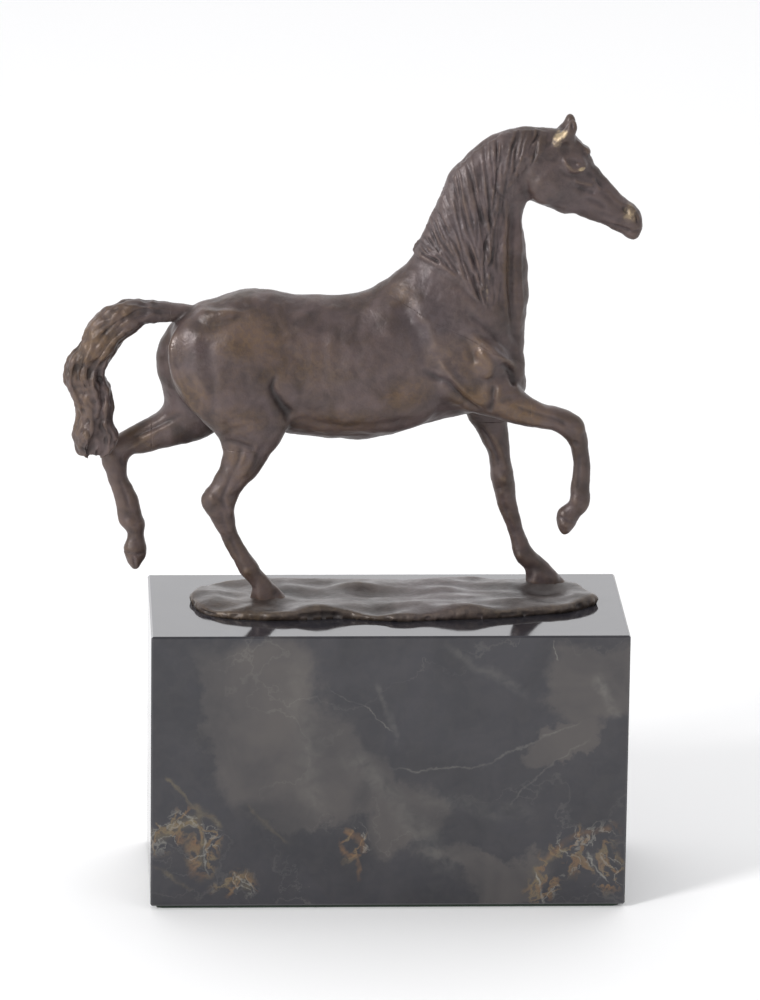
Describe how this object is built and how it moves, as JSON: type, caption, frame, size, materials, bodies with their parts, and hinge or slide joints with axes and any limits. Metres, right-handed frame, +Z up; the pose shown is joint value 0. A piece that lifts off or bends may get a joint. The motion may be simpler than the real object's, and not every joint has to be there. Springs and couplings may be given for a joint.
{
  "type": "bronze horse statue",
  "caption": "Trotting horse cast in bronze on a rough bronze ground plate, bolted down to a polished dark marble block with a felt sheet beneath.",
  "frame": {"origin": "middle of the flat underside that the statue rests on", "axes": "+Z up; +X the way the horse faces; the horse's right side faces -Y"},
  "size_m": [0.2466, 0.09, 0.3361],
  "materials": {
    "bronze": "dark brown patina with golden rubbed patches, satin",
    "marble": "polished, dark grey with cloudy patches, white and rust veins",
    "steel": "plain zinc plated",
    "felt": "dark green felt"
  },
  "bodies": {
    "root": {"marble_block": "marble", "felt_sheet": "felt", "ground_plate": "bronze", "torso": "bronze", "neck_and_head": "bronze", "tail": "bronze", "right_foreleg": "bronze", "left_foreleg": "bronze", "right_hindleg": "bronze", "left_hindleg": "bronze", "front_stud": "steel", "rear_stud": "steel", "front_washer": "steel", "rear_washer": "steel", "front_nut": "steel", "rear_nut": "steel"}
  },
  "joints": []
}
